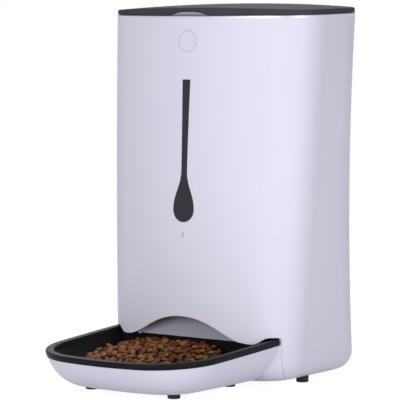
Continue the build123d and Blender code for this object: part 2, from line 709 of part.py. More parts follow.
def make_rotor():
    low = WELL_FLOOR_Z + WELL_FLOOR_T + BUSH_PROUD + LOOSE_GAP
    hub = disc(ROTOR_HUB_R, low, low + ROTOR_H, 0, WELL_Y)
    cone = Pos(0, WELL_Y, low + ROTOR_H + ROTOR_CONE_H / 2) * Cone(ROTOR_HUB_R, SHAFT_R, ROTOR_CONE_H)
    rotor = hub + cone
    for k in range(ROTOR_VANES):
        vane = block(0, WELL_R - ROTOR_GAP, -ROTOR_VANE_T / 2, ROTOR_VANE_T / 2, low, low + ROTOR_H)
        rotor += Pos(0, WELL_Y, 0) * Rot(Z=360 * (k + 0.5) / ROTOR_VANES) * vane
    return rotor - disc(SHAFT_R + SEAT_GAP, 0, low + ROTOR_H, 0, WELL_Y)


def make_case():
    wheel = GEAR_MODULE * (WHEEL_TEETH / 2 + ADDENDUM) + CASE_GAP
    output = GEAR_MODULE * (OUTPUT_TEETH / 2 + ADDENDUM) + CASE_GAP
    pinion = GEAR_MODULE * (PINION_TEETH / 2 + ADDENDUM) + CASE_GAP
    top = WELL_FLOOR_Z - SEAT_GAP

    def walls(grow, z0):
        shape = disc(output + grow, z0, top, 0, WELL_Y) + disc(wheel + grow, z0, top, 0, IDLER_Y)
        return shape + disc(pinion + grow, z0, top, PINION_X, IDLER_Y)

    case = walls(CASE_WALL, CASE_Z) - walls(0, CASE_Z + CASE_FLOOR_T)
    boss_top = GEAR_LOW_Z - LOOSE_GAP
    case += disc(AXLE_R + BUSH_T, CASE_Z, boss_top, 0, IDLER_Y)
    case -= disc(AXLE_R + SEAT_GAP, CASE_Z, FAR, 0, IDLER_Y)
    case -= disc(SHAFT_R + BUSH_T + SEAT_GAP, 0, CASE_Z + CASE_FLOOR_T, 0, WELL_Y)
    return case - disc(MOTOR_SHAFT_R + LOOSE_GAP, 0, FAR, PINION_X, IDLER_Y)


def make_bush(z0, z1):
    return disc(SHAFT_R + BUSH_T, z0, z1, 0, WELL_Y) - disc(SHAFT_R + RUN_GAP, 0, FAR, 0, WELL_Y)


def make_output_gear():
    gear = extrude(gear_face(OUTPUT_TEETH, math.pi / 2), GEAR_T)
    gear = Pos(0, WELL_Y, GEAR_LOW_Z) * gear
    return gear - disc(SHAFT_R + SEAT_GAP, 0, FAR, 0, WELL_Y)


def make_idler_gear():
    gap_up = -math.pi / 2 + math.pi / PINION_TEETH
    small = extrude(gear_face(PINION_TEETH, gap_up), GEAR_T + GEAR_STEP)
    wheel = extrude(gear_face(WHEEL_TEETH, 0.0), GEAR_T)
    gear = Pos(0, IDLER_Y, GEAR_LOW_Z) * small + Pos(0, IDLER_Y, GEAR_HIGH_Z) * wheel
    return gear - disc(AXLE_R + RUN_GAP, 0, FAR, 0, IDLER_Y)


def make_pinion():
    pinion = extrude(gear_face(PINION_TEETH, math.pi + math.pi / PINION_TEETH), GEAR_T)
    pinion = Pos(PINION_X, IDLER_Y, GEAR_HIGH_Z) * pinion
    return pinion - disc(MOTOR_SHAFT_R + SEAT_GAP, 0, FAR, PINION_X, IDLER_Y)


def make_motor():
    low = MOTOR_TOP_Z - MOTOR_L
    can = disc(MOTOR_R, low, MOTOR_TOP_Z, PINION_X, IDLER_Y)
    can = fillet(can.edges().filter_by(GeomType.CIRCLE), CASE_WALL / 2)
    can += disc(MOTOR_R / 3, low - CASE_WALL, low, PINION_X, IDLER_Y)
    return can - disc(MOTOR_SHAFT_R + RUN_GAP, MOTOR_TOP_Z - MOTOR_R, FAR, PINION_X, IDLER_Y)


def dome(inset, drop=0.0):
    centre = Pos(0, 0, LID_W + LID_CROWN - LID_DOME_R) * Rot(X=90)
    prism = extrude(plan_face(TOP_PLAN, LID_W, inset), 2 * LID_CROWN)
    return prism & centre * Sphere(LID_DOME_R - drop)


def rounded_dome():
    cap = dome(LOOSE_GAP)
    return fillet(cap.faces().sort_by(Axis.Z)[-1].edges(), LID_ROUND)


def notch_bar(shrink):
    radius = (NOTCH_HALF_W ** 2 + NOTCH_H ** 2) / (2 * NOTCH_H)
    centre = LID_W + NOTCH_H - radius
    return bar_y(radius - shrink, -FAR, NOTCH_DEPTH - TOP_FRONT, 0, centre)


def make_ring():
    ring = extrude(plan_face(TOP_PLAN, 0, 0), RING_H) - extrude(plan_face(TOP_PLAN, -OVER, RING_W), RING_W)
    skirt = WALL + SKIRT_GAP
    ring += extrude(plan_face(TOP_PLAN, -SKIRT_H, skirt), SKIRT_H) - extrude(
        plan_face(TOP_PLAN, -2 * SKIRT_H, skirt + SKIRT_T), 3 * SKIRT_H)
    gap = LATCH_ARM_X + LATCH_ARM_W + LATCH_BAR_T
    ring -= block(-gap, gap, -TOP_FRONT + skirt, 0, -2 * SKIRT_H, 0)
    tongue = TONGUE_HALF_W + SLIDE_GAP
    tab_rear = -TOP_FRONT + TONGUE_INSET - TONGUE_T
    ring -= block(-tongue, tongue, tab_rear, 0, -SKIRT_H, LID_CROWN)
    tab = notch_bar(NOTCH_GAP) & extrude(plan_face(TOP_PLAN, RING_H, LID_GAP), NOTCH_H)
    tab &= block(-FAR, FAR, -FAR, tab_rear, 0, FAR)
    return TOP * (ring + tab)


def make_lid():
    rear = HINGE_Y - KNUCKLE_R - LID_HINGE_GAP
    lid = rounded_dome() & block(-FAR, FAR, -FAR, rear, 0, FAR)
    hollow = dome(LID_SKIN + LOOSE_GAP, LID_SKIN) & block(-FAR, FAR, -FAR, rear - LID_SKIN, 0, FAR)
    lid -= hollow
    lid -= notch_bar(0)
    seat = extrude(plan_face(TOP_PLAN, LID_W - RING_H / 2, SEAL_INSET), LID_CROWN)
    seat -= extrude(plan_face(TOP_PLAN, 0, SEAL_INSET + SEAL_W), 2 * LID_CROWN)
    seat &= block(-FAR, FAR, -FAR, rear - LID_SKIN, 0, FAR)
    lid += seat & hollow
    tongue_y = -TOP_FRONT + TONGUE_INSET
    tongue = block(-TONGUE_HALF_W, TONGUE_HALF_W, tongue_y, tongue_y + TONGUE_T, TONGUE_W,
                   LID_W + NOTCH_H + OVER)
    tongue += block(-TONGUE_HALF_W, TONGUE_HALF_W, tongue_y, tongue_y + TONGUE_T + HOOK_T, TONGUE_W,
                    TONGUE_W + TONGUE_T)
    lid += tongue
    for side in (-1, 1):
        x0, x1 = sorted((side * (KNUCKLE_IN_X + KNUCKLE_GAP), side * (KNUCKLE_OUT_X - KNUCKLE_GAP)))
        web = block(x0, x1, rear - LID_SKIN, HINGE_Y, LID_W, HINGE_W + KNUCKLE_R / 2)
        lid += web + bar_x(KNUCKLE_R, x0, x1, HINGE_Y, HINGE_W)
        lid -= bar_x(HINGE_PIN_R + RUN_GAP, x0 - OVER, x1 + OVER, HINGE_Y, HINGE_W)
    return TOP * lid


def make_bridge():
    front = HINGE_Y + KNUCKLE_R + BRIDGE_HINGE_GAP
    bridge = Pos(0, 0, -LID_GAP) * (rounded_dome() & block(-FAR, FAR, front, FAR, 0, FAR))
    inside = extrude(plan_face(TOP_PLAN, -LID_CROWN, RING_H / 2), 4 * LID_CROWN)
    for x0, x1 in ((-KNUCKLE_END_X, -KNUCKLE_OUT_X), (-KNUCKLE_IN_X, KNUCKLE_IN_X),
                   (KNUCKLE_OUT_X, KNUCKLE_END_X)):
        web = block(x0, x1, HINGE_Y, front + KNUCKLE_GAP, RING_H, HINGE_W + KNUCKLE_R / 2)
        bridge += (web + bar_x(KNUCKLE_R, x0, x1, HINGE_Y, HINGE_W)) & inside
    return TOP * (bridge - bar_x(HINGE_PIN_R + SEAT_GAP, -FAR, FAR, HINGE_Y, HINGE_W))


def make_lid_seal():
    rear = HINGE_Y - KNUCKLE_R - LID_HINGE_GAP - LID_SKIN
    low = LID_W - SEAL_DROP
    seal = extrude(plan_face(TOP_PLAN, low, SEAL_INSET), SEAL_DROP - RING_H / 2 + OVER)
    seal -= extrude(plan_face(TOP_PLAN, low - OVER, SEAL_INSET + SEAL_W), 2 * SEAL_DROP)
    return TOP * (seal & block(-FAR, FAR, -FAR, rear, -FAR, LID_W - LOOSE_GAP / 2))


def make_desiccant_case():
    low = LID_W + LID_CROWN - LID_SKIN - DESICCANT_DEPTH
    case = disc(DESICCANT_R, low, LID_W + 2 * LID_CROWN)
    case &= Pos(0, 0, LID_W + LID_CROWN - LID_DOME_R) * Rot(X=90) * Sphere(LID_DOME_R - LID_SKIN - FIT_GAP)
    case = fillet(case.edges().sort_by(Axis.Z)[0:1], LID_ROUND)
    for k in range(VENTS):
        y = VENT_PITCH * (k - (VENTS - 1) / 2)
        case -= block(-DESICCANT_R / 2, DESICCANT_R / 2, y - VENT_W / 2, y + VENT_W / 2, low - OVER,
                      low + VENT_DEPTH)
    return TOP * case


def make_release():
    face = wall & bar_y(RELEASE_R, -FAR, 0, 0, RELEASE_Z)
    back = -plan_at(RELEASE_Z)[1] + WALL + RELEASE_GAP
    flange = bar_y(RELEASE_FLANGE_R, back, back + RELEASE_FLANGE_T, 0, RELEASE_Z)
    tongue = TONGUE_HALF_W + SLIDE_GAP
    flange -= block(-tongue, tongue, -FAR, FAR, FRONT_TOP_Z + TONGUE_W - LOOSE_GAP, FAR)
    stem = bar_y(RELEASE_R, back - RELEASE_GAP - WALL, back, 0, RELEASE_Z) & inner
    bar_z = FRONT_TOP_Z + LATCH_BAR_W
    bar_y0 = -TOP_FRONT + LATCH_BAR_INSET
    release = face + stem + flange
    for side in (-1, 1):
        x0, x1 = sorted((side * LATCH_ARM_X, side * (LATCH_ARM_X + LATCH_ARM_W)))
        release += block(x0, x1, back, back + RELEASE_FLANGE_T, RELEASE_Z, bar_z)
        release += block(x0, x1, back, bar_y0 + LATCH_BAR_T, bar_z - LATCH_BAR_H, bar_z)
    reach = LATCH_ARM_X + LATCH_ARM_W
    return release + block(-reach, reach, bar_y0, bar_y0 + LATCH_BAR_T, bar_z - LATCH_BAR_H, bar_z)


def make_indicator():
    lens = wall & indicator_prism(SEAT_GAP)
    back = -plan_at(INDICATOR_Z)[1] + WALL
    flange = block(-INDICATOR_FLANGE, INDICATOR_FLANGE, back - WALL, back + INDICATOR_FLANGE_T,
                   INDICATOR_Z - INDICATOR_H, INDICATOR_Z + INDICATOR_H)
    return lens + (flange & inner)


def panel_area(inset, z0, height):
    return extrude(plan_face(TOP_PLAN, z0, inset), height) & block(-FAR, FAR, -FAR, PANEL_REAR_Y, -FAR, FAR)


def make_panel_plate():
    plate = panel_area(PANEL_INSET, -PANEL_T, PANEL_T - SEAT_GAP)
    gap = LATCH_ARM_X + LATCH_ARM_W + LATCH_BAR_T
    plate -= block(-gap, gap, -FAR, -TOP_FRONT + RING_W, -FAR, FAR)
    half_x, half_y = DISPLAY_X / 2, DISPLAY_Y / 2
    y = DISPLAY_CENTRE_Y
    plate -= block(-half_x, half_x, y - half_y, y + half_y, -DISPLAY_T, FAR)
    ledge = DISPLAY_LEDGE
    plate -= block(-half_x + ledge, half_x - ledge, y - half_y + ledge, y + half_y - ledge, -FAR, FAR)
    for x, key_y in zip(KEY_X, KEY_Y):
        plate -= disc(KEY_R + LOOSE_GAP, -FAR, FAR, x, key_y)
    return TOP * plate


def make_display_lens():
    y = DISPLAY_CENTRE_Y
    return TOP * block(-DISPLAY_X / 2 + FIT_GAP, DISPLAY_X / 2 - FIT_GAP, y - DISPLAY_Y / 2 + FIT_GAP,
                       y + DISPLAY_Y / 2 - FIT_GAP, -DISPLAY_T, 0)


def make_display_module():
    ledge = DISPLAY_LEDGE
    y = DISPLAY_CENTRE_Y
    top = -PANEL_T - SEAT_GAP
    return TOP * block(-DISPLAY_X / 2 + ledge, DISPLAY_X / 2 - ledge, y - DISPLAY_Y / 2, y + DISPLAY_Y / 2,
                       top - MODULE_T, top)


def make_panel_board():
    top = -BOARD_DROP
    board = panel_area(PANEL_BOX_INSET + PANEL_BOX_WALL + LOOSE_GAP, top - BOARD_T, BOARD_T)
    board &= block(-FAR, FAR, -FAR, PANEL_REAR_Y - PANEL_BOX_WALL - LOOSE_GAP, -FAR, FAR)
    for x, y in zip(KEY_X, KEY_Y):
        board += block(x - KEY_STEM_R, x + KEY_STEM_R, y - KEY_STEM_R, y + KEY_STEM_R, top, top + BOARD_T / 2)
    return TOP * board


def make_panel_box():
    low = -PANEL_T - SEAT_GAP - PANEL_BOX_H
    box = panel_area(PANEL_BOX_INSET, low, PANEL_BOX_H)
    hollow = panel_area(PANEL_BOX_INSET + PANEL_BOX_WALL, low + PANEL_BOX_WALL, 2 * PANEL_BOX_H)
    hollow &= block(-FAR, FAR, -FAR, PANEL_REAR_Y - PANEL_BOX_WALL, -FAR, FAR)
    box -= hollow
    shelf_top = -BOARD_DROP - BOARD_T - SEAT_GAP
    for x in (KEY_X[0], 0, KEY_X[-2]):
        box += disc(KEY_STEM_R, low, shelf_top, x, DISPLAY_CENTRE_Y + DISPLAY_Y / 2)
    return TOP * box


def make_key(x, y):
    top = KEY_PROUD + KEY_TRAVEL
    flange_top = -PANEL_T - LOOSE_GAP
    key = disc(KEY_R, flange_top, top, x, y)
    key = fillet(key.edges().sort_by(Axis.Z)[-1:], KEY_PROUD + LOOSE_GAP)
    key += disc(KEY_R + KEY_FLANGE, flange_top - KEY_FLANGE_T, flange_top, x, y)
    stem_low = -BOARD_DROP + BOARD_T / 2 + KEY_TRAVEL + LOOSE_GAP
    return TOP * (key + disc(KEY_STEM_R, stem_low, flange_top - KEY_FLANGE_T, x, y))


def make_main_board():
    half = BOARD_T / 2
    low = BASE_TOP_Z + SEAT_GAP
    board = block(MAIN_BOARD_X - half, MAIN_BOARD_X + half, CELL_Y - MAIN_BOARD_L / 2,
                  CELL_Y + MAIN_BOARD_L / 2, low, low + MAIN_BOARD_H)
    outside = MAIN_BOARD_X - half
    for k in range(CHIPS):
        y = CELL_Y + (k - (CHIPS - 1) / 2) * MAIN_BOARD_L / (CHIPS + 1)
        board += block(outside - CHIP_T, outside, y - CHIP_W / 2, y + CHIP_W / 2, low + CHIP_Z,
                       low + CHIP_Z + (k + 2) * CHIP_W / 2)
    return board


def make_speaker():
    seat = SPEAKER_SEAT_Y - SEAT_GAP
    rim_r, rim_in_r, magnet_r = SPEAKER_R + WALL / 2, SPEAKER_R - SPEAKER_RIM_W, SPEAKER_R / 2
    profile = Polyline((0, 0), (rim_r, 0), (rim_r, -SPEAKER_RIM_T), (rim_in_r, -SPEAKER_RIM_T),
                       (magnet_r, -SPEAKER_DEPTH / 2), (magnet_r, -SPEAKER_DEPTH), (0, -SPEAKER_DEPTH),
                       close=True)
    return Pos(0, seat, SPEAKER_Z) * Rot(X=-90) * revolve(Plane.XZ * make_face(profile), Axis.Z)


def make_jack():
    nose_end = plan_at(JACK_Z)[2] - JACK_X ** 2 / (2 * BOW_R) - WALL
    seat = JACK_SEAT_Y - SEAT_GAP
    jack = block(JACK_X - JACK_BODY / 2, JACK_X + JACK_BODY / 2, seat - JACK_BODY, seat,
                 JACK_Z - JACK_BODY / 2, JACK_Z + JACK_BODY / 2)
    jack += bar_y(JACK_R, seat, nose_end, JACK_X, JACK_Z)
    jack -= bar_y(JACK_BORE_R, seat - JACK_BODY / 2, FAR, JACK_X, JACK_Z)
    return jack + bar_y(JACK_PIN_R, seat - JACK_BODY / 2, nose_end - JACK_PIN_INSET, JACK_X, JACK_Z)


pieces["outer_shell"] = make_shell()
pieces["bowl_holder"] = make_holder()
pieces["bowl"] = make_bowl()
pieces["body_feet"] = make_body_feet()
pieces["holder_feet"] = make_holder_feet()
pieces["base_plate"] = make_base_plate()
pieces["base_screws"] = make_base_screws()
pieces["battery_box"] = make_battery_box()
pieces["battery_contacts"] = make_battery_contacts()
pieces["battery_cover"] = make_battery_cover()
pieces["hopper"] = make_hopper()
pieces["hopper_seal"] = make_hopper_seal()
pieces["rotor_housing"] = make_rotor_housing()
pieces["outlet_guard"] = make_outlet_guard()
pieces["chute"] = make_chute()
pieces["drop_sensors"] = make_drop_sensors()
pieces["rotor"] = make_rotor()
pieces["rotor_shaft"] = disc(SHAFT_R, CASE_Z + LOOSE_GAP, WELL_FLOOR_Z + ROTOR_H, 0, WELL_Y)
pieces["upper_bush"] = make_bush(WELL_FLOOR_Z - BUSH_T / 2, WELL_FLOOR_Z + WELL_FLOOR_T + BUSH_PROUD)
pieces["lower_bush"] = make_bush(CASE_Z, GEAR_LOW_Z - LOOSE_GAP)
pieces["gearbox_case"] = make_case()
pieces["output_gear"] = make_output_gear()
pieces["idler_gear"] = make_idler_gear()
pieces["idler_axle"] = disc(AXLE_R, CASE_Z, WELL_FLOOR_Z + WELL_FLOOR_T / 2 - SEAT_GAP, 0, IDLER_Y)
pieces["motor_pinion"] = make_pinion()
pieces["motor_shaft"] = disc(MOTOR_SHAFT_R, MOTOR_TOP_Z - MOTOR_R + LOOSE_GAP, GEAR_HIGH_Z + GEAR_T,
                             PINION_X, IDLER_Y)
pieces["motor"] = make_motor()
pieces["trim_ring"] = make_ring()
pieces["lid"] = make_lid()
pieces["hinge_bridge"] = make_bridge()
pieces["hinge_pin"] = TOP * bar_x(HINGE_PIN_R, -KNUCKLE_END_X, KNUCKLE_END_X, HINGE_Y, HINGE_W)
pieces["lid_seal"] = make_lid_seal()
pieces["desiccant_case"] = make_desiccant_case()
pieces["lid_release"] = make_release()
pieces["level_window"] = wall & window_prism(FIT_GAP)
pieces["indicator_lens"] = make_indicator()
pieces["panel_plate"] = make_panel_plate()
pieces["display_lens"] = make_display_lens()
pieces["display_module"] = make_display_module()
pieces["panel_board"] = make_panel_board()
pieces["panel_box"] = make_panel_box()
for key_name, key_x, key_y in zip(KEY_NAMES, KEY_X, KEY_Y):
    pieces[key_name] = make_key(key_x, key_y)
pieces["main_board"] = make_main_board()
pieces["speaker"] = make_speaker()
pieces["power_jack"] = make_jack()

front_end = pieces["bowl"].bounding_box().min.Y
back_end = pieces["outer_shell"].bounding_box().max.Y
set_back = Pos(0, -(front_end + back_end) / 2, 0)

os.makedirs("parts", exist_ok=True)
for node, shape in pieces.items():
    members = shape if isinstance(shape, list) else [shape]
    moved = [set_back * solid for member in members for solid in member.solids()]
    export_step(moved[0] if len(moved) == 1 else Compound(children=moved), f"parts/{node}.step")
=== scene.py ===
import bpy
import bmesh
import json
import math
import random
import numpy as np
from mathutils import Euler, Matrix, Vector, noise
from mathutils.bvhtree import BVHTree


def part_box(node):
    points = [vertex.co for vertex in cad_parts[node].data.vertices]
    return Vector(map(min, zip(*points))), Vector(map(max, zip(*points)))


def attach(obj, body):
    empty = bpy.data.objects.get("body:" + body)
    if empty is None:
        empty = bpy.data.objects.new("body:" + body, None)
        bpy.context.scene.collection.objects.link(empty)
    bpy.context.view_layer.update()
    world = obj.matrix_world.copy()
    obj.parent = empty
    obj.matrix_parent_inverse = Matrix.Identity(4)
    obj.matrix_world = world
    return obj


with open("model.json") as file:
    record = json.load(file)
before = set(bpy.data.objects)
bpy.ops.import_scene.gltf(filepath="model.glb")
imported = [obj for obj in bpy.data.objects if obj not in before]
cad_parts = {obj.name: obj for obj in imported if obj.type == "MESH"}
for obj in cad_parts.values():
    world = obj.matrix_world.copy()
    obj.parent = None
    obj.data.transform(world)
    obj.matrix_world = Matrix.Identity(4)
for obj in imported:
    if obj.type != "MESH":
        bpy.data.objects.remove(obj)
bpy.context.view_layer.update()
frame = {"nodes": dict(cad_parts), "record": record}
print("frame loaded:", len(frame["nodes"]), "nodes")

mm = 0.001
shaftLow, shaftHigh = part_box("rotor_shaft")
shaftBehind = 2.0 * mm  # the rotor stands this far behind the body's axis
axisY = (shaftLow[1] + shaftHigh[1]) / 2 - shaftBehind


class Value:
    def __init__(self, paint, socket):
        self.paint = paint
        self.socket = socket

    def maths(self, operation, first, second):
        return self.paint.node("ShaderNodeMath", {"operation": operation}, {0: first, 1: second})[0]

    def __add__(self, other):
        return self.maths("ADD", self, other)

    def __radd__(self, other):
        return self.maths("ADD", other, self)

    def __sub__(self, other):
        return self.maths("SUBTRACT", self, other)

    def __rsub__(self, other):
        return self.maths("SUBTRACT", other, self)

    def __mul__(self, other):
        return self.maths("MULTIPLY", self, other)

    def __rmul__(self, other):
        return self.maths("MULTIPLY", other, self)

    def __truediv__(self, other):
        return self.maths("DIVIDE", self, other)

    def __rtruediv__(self, other):
        return self.maths("DIVIDE", other, self)


class Made:
    def __init__(self, paint, node):
        self.paint = paint
        self.node = node

    def __getitem__(self, key):
        return Value(self.paint, self.node.outputs[key])


class Paint:
    def __init__(self, name, tree=None):
        self.material = None
        if tree is None:
            self.material = bpy.data.materials.new(name)
            self.material.use_nodes = True
            tree = self.material.node_tree
        self.tree = tree
        self.tree.nodes.clear()

    # any node from its type, its settings and its sockets' values or links
    def node(self, kind, settings=None, sockets=None):
        made = self.tree.nodes.new(kind)
        for key, value in (settings or {}).items():
            if key == "stops":
                ramp = made.color_ramp
                while len(ramp.elements) < len(value):
                    ramp.elements.new(0.5)
                for element, (place, tone) in zip(ramp.elements, value):
                    element.position = place
                    element.color = tone
            else:
                setattr(made, key, value)
        for key, value in (sockets or {}).items():
            if isinstance(value, Value):
                self.tree.links.new(value.socket, made.inputs[key])
            else:
                made.inputs[key].default_value = value
        return Made(self, made)

    def place(self):
        return self.node("ShaderNodeTexCoord")["Object"]

    def noise(self, scale, detail=3.0, rough=0.5, vector=None):
        sockets = {"Vector": vector or self.place(), "Scale": scale, "Detail": detail, "Roughness": rough}
        return self.node("ShaderNodeTexNoise", None, sockets)[0]

    def mixColour(self, share, first, second):
        sockets = {0: share, 6: first, 7: second}
        return self.node("ShaderNodeMix", {"data_type": "RGBA"}, sockets)[2]

    def bump(self, height, strength, distance):
        sockets = {"Height": height, "Strength": strength, "Distance": distance}
        return self.node("ShaderNodeBump", None, sockets)["Normal"]

    def surface(self, sockets):
        shader = self.node("ShaderNodeBsdfPrincipled", None, sockets)
        self.node("ShaderNodeOutputMaterial", None, {"Surface": shader[0]})
        return self.material


def colour(red, green, blue):
    return (red, green, blue, 1.0)


shellLook = {
    "pale": colour(0.738, 0.718, 0.842),
    "deep": colour(0.704, 0.683, 0.815),
    "cloudScale": 9.0,
    "rough": 0.36,
    "roughSpread": 0.08,
    "shine": 0.06,
    "coat": 0.0,
    "coatSpread": 0.04,
    "coatRough": 0.2,
    "grainScale": 1400.0,
    "grainShare": 0.2,
    "grainDepth": 0.03 * mm,
}


def shellPaint(name, look):
    paint = Paint(name)
    cloud = paint.noise(look["cloudScale"], 2.0)
    grain = paint.noise(look["grainScale"], 2.0)
    return paint.surface({
        "Base Color": paint.mixColour(cloud, look["pale"], look["deep"]),
        "Roughness": look["rough"] + look["roughSpread"] * (cloud - 0.5),
        "Specular IOR Level": look["shine"],
        "Coat Weight": look["coat"] + look["coatSpread"] * (cloud - 0.5),
        "Coat Roughness": look["coatRough"],
        "Normal": paint.bump(grain, look["grainShare"], look["grainDepth"]),
    })


satinLook = {
    "lid": {"pale": colour(0.066, 0.064, 0.080), "deep": colour(0.050, 0.049, 0.062), "rough": 0.62,
            "grainScale": 900.0, "grainDepth": 0.08 * mm, "shine": 0.015, "grainShare": 0.35},
    "bowl": {"pale": colour(0.010, 0.0105, 0.012), "deep": colour(0.007, 0.0075, 0.0085), "rough": 0.42,
             "grainScale": 1100.0, "grainDepth": 0.06 * mm, "shine": 0.07, "grainShare": 0.3},
    # the chute is the same white plastic as the shell; its colour is set darker as painted shade for the
    # shadow inside the arch
    "chute": {"pale": colour(0.49, 0.467, 0.565), "deep": colour(0.44, 0.42, 0.51), "rough": 0.42,
              "grainScale": 900.0, "grainDepth": 0.06 * mm, "shine": 0.3, "grainShare": 0.3},
    "inner": {"pale": colour(0.34, 0.345, 0.37), "deep": colour(0.29, 0.295, 0.315), "rough": 0.5,
              "grainScale": 800.0, "grainDepth": 0.1 * mm, "shine": 0.4, "grainShare": 0.4},
    "rotor": {"pale": colour(0.40, 0.41, 0.45), "deep": colour(0.34, 0.35, 0.385), "rough": 0.4,
              "grainScale": 900.0, "grainDepth": 0.06 * mm, "shine": 0.4, "grainShare": 0.3},
    "gear": {"pale": colour(0.70, 0.67, 0.58), "deep": colour(0.63, 0.60, 0.51), "rough": 0.4,
             "grainScale": 1000.0, "grainDepth": 0.04 * mm, "shine": 0.4, "grainShare": 0.3},
    "black": {"pale": colour(0.028, 0.028, 0.031), "deep": colour(0.02, 0.02, 0.023), "rough": 0.42,
              "grainScale": 1000.0, "grainDepth": 0.08 * mm, "shine": 0.4, "grainShare": 0.4},
    "key": {"pale": colour(0.30, 0.305, 0.335), "deep": colour(0.26, 0.265, 0.29), "rough": 0.6,
            "grainScale": 1200.0, "grainDepth": 0.05 * mm, "shine": 0.4, "grainShare": 0.4},
    "sign": {"pale": colour(0.72, 0.73, 0.76), "deep": colour(0.66, 0.67, 0.7), "rough": 0.5,
             "grainScale": 1500.0, "grainDepth": 0.02 * mm, "shine": 0.3, "grainShare": 0.2},
    # a little darker than the shell: painted shade for the groove around the release
    "bezel": {"pale": colour(0.64, 0.63, 0.71), "deep": colour(0.60, 0.59, 0.67), "rough": 0.4,
              "grainScale": 1500.0, "grainDepth": 0.02 * mm, "shine": 0.3, "grainShare": 0.2},
    "rubber": {"pale": colour(0.022, 0.022, 0.023), "deep": colour(0.014, 0.014, 0.015), "rough": 0.72,
               "grainScale": 700.0, "grainDepth": 0.12 * mm, "shine": 0.3, "grainShare": 0.5},
}
satinSpread = {"cloudScale": 14.0, "cloud": 0.06, "grain": 0.1}


def satinPaint(name, look):
    paint = Paint(name)
    cloud = paint.noise(satinSpread["cloudScale"], 3.0)
    grain = paint.noise(look["grainScale"], 2.0, 0.6)
    spread = satinSpread["grain"] * (grain - 0.5) + satinSpread["cloud"] * (cloud - 0.5)
    return paint.surface({
        "Base Color": paint.mixColour(cloud, look["pale"], look["deep"]),
        "Roughness": look["rough"] + spread,
        "Specular IOR Level": look["shine"],
        "Normal": paint.bump(grain, look["grainShare"], look["grainDepth"]),
    })


metalLook = {
    "steel": {"pale": colour(0.56, 0.56, 0.57), "deep": colour(0.44, 0.44, 0.45), "rough": 0.3,
              "metal": 1.0, "stretch": (1.0, 1.0, 12.0), "scale": 420.0},
    "brass": {"pale": colour(0.66, 0.49, 0.22), "deep": colour(0.55, 0.39, 0.16), "rough": 0.3,
              "metal": 1.0, "stretch": (1.0, 1.0, 8.0), "scale": 420.0},
}
metalSpread = {"cloudScale": 30.0, "cloud": 0.06, "streak": 0.12, "share": 0.12, "depth": 0.04 * mm}


def metalPaint(name, look):
    paint = Paint(name)
    stretched = paint.node("ShaderNodeMapping", None, {"Vector": paint.place(), "Scale": look["stretch"]})[0]
    streak = paint.noise(look["scale"], 2.0, 0.5, stretched)
    cloud = paint.noise(metalSpread["cloudScale"], 2.0)
    spread = metalSpread["streak"] * (streak - 0.5) + metalSpread["cloud"] * (cloud - 0.5)
    return paint.surface({
        "Base Color": paint.mixColour(streak, look["pale"], look["deep"]),
        "Metallic": look["metal"],
        "Roughness": look["rough"] + spread,
        "Normal": paint.bump(streak, metalSpread["share"], metalSpread["depth"]),
    })


trimLook = {
    "topZ": 350.0 * mm,  # height of the body's upper edge on its axis, and its slope in degrees
    "tilt": 1.5,
    "span": 8.0 * mm,
    # height over the body's edge in millimetres, and the tone there: silver below, painted shade and painted
    # shading of the thumb tab above
    "tones": ((1.5, 0.66), (1.9, 0.15), (3.2, 0.14), (4.2, 0.27), (5.1, 0.36), (5.8, 0.2), (6.2, 0.05)),
    "tint": (1.0, 0.985, 1.08),
    "rough": 0.35,
    "roughSpread": 0.1,
    "metal": 0.25,
    "grainScale": 2600.0,
    "grainShare": 0.1,
    "grainDepth": 0.03 * mm,
}


# silver with a pale lower lip; above it painted shade in the gap under the lid, painted shading up the thumb
# tab with a brighter band, and painted shade again dark under the lid's notch
def trimPaint(name, look):
    paint = Paint(name)
    place = paint.node("ShaderNodeSeparateXYZ", None, {0: paint.place()})
    height = place["Z"] - look["topZ"] - (place["Y"] - axisY) * math.tan(math.radians(look["tilt"]))
    stops = []
    for rise, tone in look["tones"]:
        stops.append((rise * mm / look["span"], colour(*(tone * part for part in look["tint"]))))
    # silver by height, with painted shade under the lid and painted shading on the thumb tab
    silverAndShade = paint.node("ShaderNodeValToRGB", {"stops": stops}, {"Fac": height / look["span"]})[0]
    grain = paint.noise(look["grainScale"], 2.0)
    return paint.surface({
        "Base Color": silverAndShade,
        "Metallic": look["metal"],
        "Roughness": look["rough"] + look["roughSpread"] * (grain - 0.5),
        "Normal": paint.bump(grain, look["grainShare"], look["grainDepth"]),
    })


smokeLook = {
    "pale": colour(0.019, 0.018, 0.030),
    "deep": colour(0.014, 0.013, 0.022),
    "cloudScale": 40.0,
    "rough": 0.2,
    "roughSpread": 0.06,
    "shine": 0.25,
    "coat": 0.1,
    "coatSpread": 0.05,
    "speckScale": 1500.0,
    "speckShare": 0.05,
    "speckDepth": 0.02 * mm,
}
displayLook = {"rough": 0.08}
lensLook = {"pale": colour(0.42, 0.40, 0.47), "deep": colour(0.36, 0.34, 0.41)}


def smokePaint(name, look):
    paint = Paint(name)
    cloud = paint.noise(look["cloudScale"], 3.0)
    speck = paint.noise(look["speckScale"], 1.0)
    return paint.surface({
        "Base Color": paint.mixColour(cloud, look["pale"], look["deep"]),
        "Roughness": look["rough"] + look["roughSpread"] * (cloud - 0.5),
        "Specular IOR Level": look["shine"],
        "Coat Weight": look["coat"] + look["coatSpread"] * (cloud - 0.5),
        "Normal": paint.bump(speck, look["speckShare"], look["speckDepth"]),
    })


boardLook = {
    "mask": colour(0.012, 0.075, 0.028),
    "track": colour(0.03, 0.14, 0.055),
    "scale": 260.0,
    "trackHalf": 0.08,
    "rough": 0.3,
    "trackRough": 0.15,
    "trackShare": 0.3,
    "trackDepth": 0.05 * mm,
}


